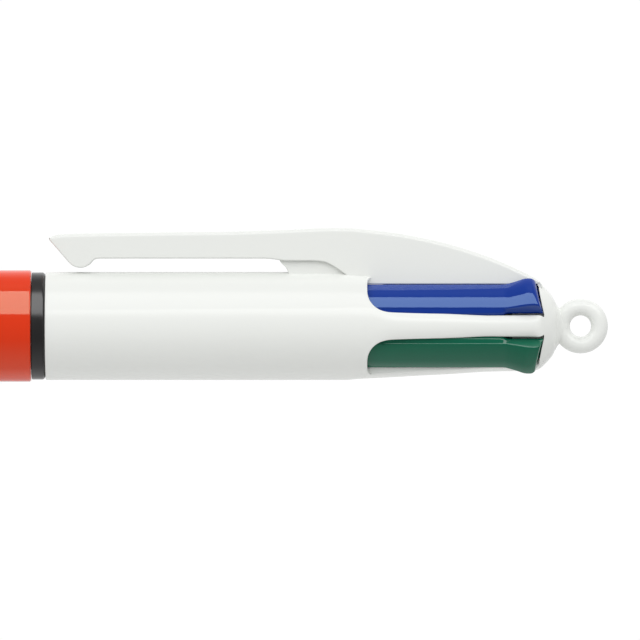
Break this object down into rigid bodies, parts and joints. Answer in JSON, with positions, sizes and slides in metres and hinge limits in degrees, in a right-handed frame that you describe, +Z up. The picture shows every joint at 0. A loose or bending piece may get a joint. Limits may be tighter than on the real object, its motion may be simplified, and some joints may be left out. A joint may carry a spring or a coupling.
{
  "type": "multicolour click pen",
  "caption": "Multicolour retractable ballpoint pen: a slider for each ink pushes its point out of the nose; sprung pocket clip, screw-apart barrel and a lanyard loop.",
  "frame": {"origin": "under the middle of the pen's length, on the surface that it lies on with the clip up", "axes": "+X along the pen from the nose to the lanyard loop, +Z up through the clip, +Y across the pen"},
  "size_m": [0.148, 0.0128, 0.0176],
  "materials": {
    "orange_plastic": "glossy moulded plastic",
    "white_plastic": "glossy moulded plastic",
    "black_plastic": "glossy moulded plastic",
    "inner_plastic": "glossy moulded plastic",
    "blue_plastic": "glossy moulded plastic",
    "green_plastic": "glossy moulded plastic",
    "red_plastic": "glossy moulded plastic",
    "spring_steel": "drawn spring wire",
    "point_brass": "turned brass",
    "ball_metal": "polished ball"
  },
  "bodies": {
    "upper": {"upper_barrel": "white_plastic", "end_cap": "white_plastic", "threaded_coupling": "white_plastic", "refill_guide": "inner_plastic", "latch_core": "inner_plastic"},
    "clip": {"clip_arm": "white_plastic"},
    "ring": {"trim_ring": "black_plastic"},
    "lower": {"lower_barrel": "orange_plastic"},
    "push_blue": {"slider_blue": "blue_plastic", "spring_blue": "spring_steel", "refill_tube_blue": "blue_plastic"},
    "point_blue": {"refill_point_blue": "point_brass", "refill_ball_blue": "ball_metal"},
    "push_green": {"slider_green": "green_plastic", "spring_green": "spring_steel", "refill_tube_green": "green_plastic"},
    "point_green": {"refill_point_green": "point_brass", "refill_ball_green": "ball_metal"},
    "push_red": {"slider_red": "red_plastic", "spring_red": "spring_steel", "refill_tube_red": "red_plastic"},
    "point_red": {"refill_point_red": "point_brass", "refill_ball_red": "ball_metal"},
    "push_black": {"slider_black": "black_plastic", "spring_black": "spring_steel", "refill_tube_black": "black_plastic"},
    "point_black": {"refill_point_black": "point_brass", "refill_ball_black": "ball_metal"}
  },
  "joints": [
    {"name": "clip_flex", "type": "hinge", "parent": "upper", "child": "clip", "pos_m": [0.0353, 0, 0.0157], "axis": [0, 1, 0], "range_deg": [0, 5], "stiffness_Nm_per_rad": 1.8},
    {"name": "ring_turn", "type": "hinge", "parent": "upper", "child": "ring", "pos_m": [0.0085, 0, 0.0064], "axis": [-1, 0, 0], "range_deg": [0, 1081]},
    {"name": "barrel_advance", "type": "slide", "parent": "ring", "child": "lower", "axis": [-1, 0, 0], "range_m": [0, 0.0075]},
    {"name": "blue_slide", "type": "slide", "parent": "upper", "child": "push_blue", "axis": [-1, 0, 0], "range_m": [0, 0.011], "stiffness_N_per_m": 130, "springref_m": -0.004, "deforming": ["spring_blue"]},
    {"name": "blue_lean", "type": "slide", "parent": "push_blue", "child": "point_blue", "axis": [0, 0.7071, -0.7071], "range_m": [0, 0.00127], "deforming": ["refill_tube_blue"]},
    {"name": "green_slide", "type": "slide", "parent": "upper", "child": "push_green", "axis": [-1, 0, 0], "range_m": [0, 0.011], "stiffness_N_per_m": 130, "springref_m": -0.004, "deforming": ["spring_green"]},
    {"name": "green_lean", "type": "slide", "parent": "push_green", "child": "point_green", "axis": [0, 0.7071, 0.7071], "range_m": [0, 0.00127], "deforming": ["refill_tube_green"]},
    {"name": "red_slide", "type": "slide", "parent": "upper", "child": "push_red", "axis": [-1, 0, 0], "range_m": [0, 0.011], "stiffness_N_per_m": 130, "springref_m": -0.004, "deforming": ["spring_red"]},
    {"name": "red_lean", "type": "slide", "parent": "push_red", "child": "point_red", "axis": [0, -0.7071, 0.7071], "range_m": [0, 0.00127], "deforming": ["refill_tube_red"]},
    {"name": "black_slide", "type": "slide", "parent": "upper", "child": "push_black", "axis": [-1, 0, 0], "range_m": [0, 0.011], "stiffness_N_per_m": 130, "springref_m": -0.004, "deforming": ["spring_black"]},
    {"name": "black_lean", "type": "slide", "parent": "push_black", "child": "point_black", "axis": [0, -0.7071, -0.7071], "range_m": [0, 0.00127], "deforming": ["refill_tube_black"]}
  ],
  "couplings": [
    {"joint": "ring_turn", "follows": "barrel_advance", "rad_per_m": 2513.3},
    {"joint": "blue_lean", "follows": "blue_slide", "ratio": 0.115},
    {"joint": "green_lean", "follows": "green_slide", "ratio": 0.115},
    {"joint": "red_lean", "follows": "red_slide", "ratio": 0.115},
    {"joint": "black_lean", "follows": "black_slide", "ratio": 0.115}
  ]
}
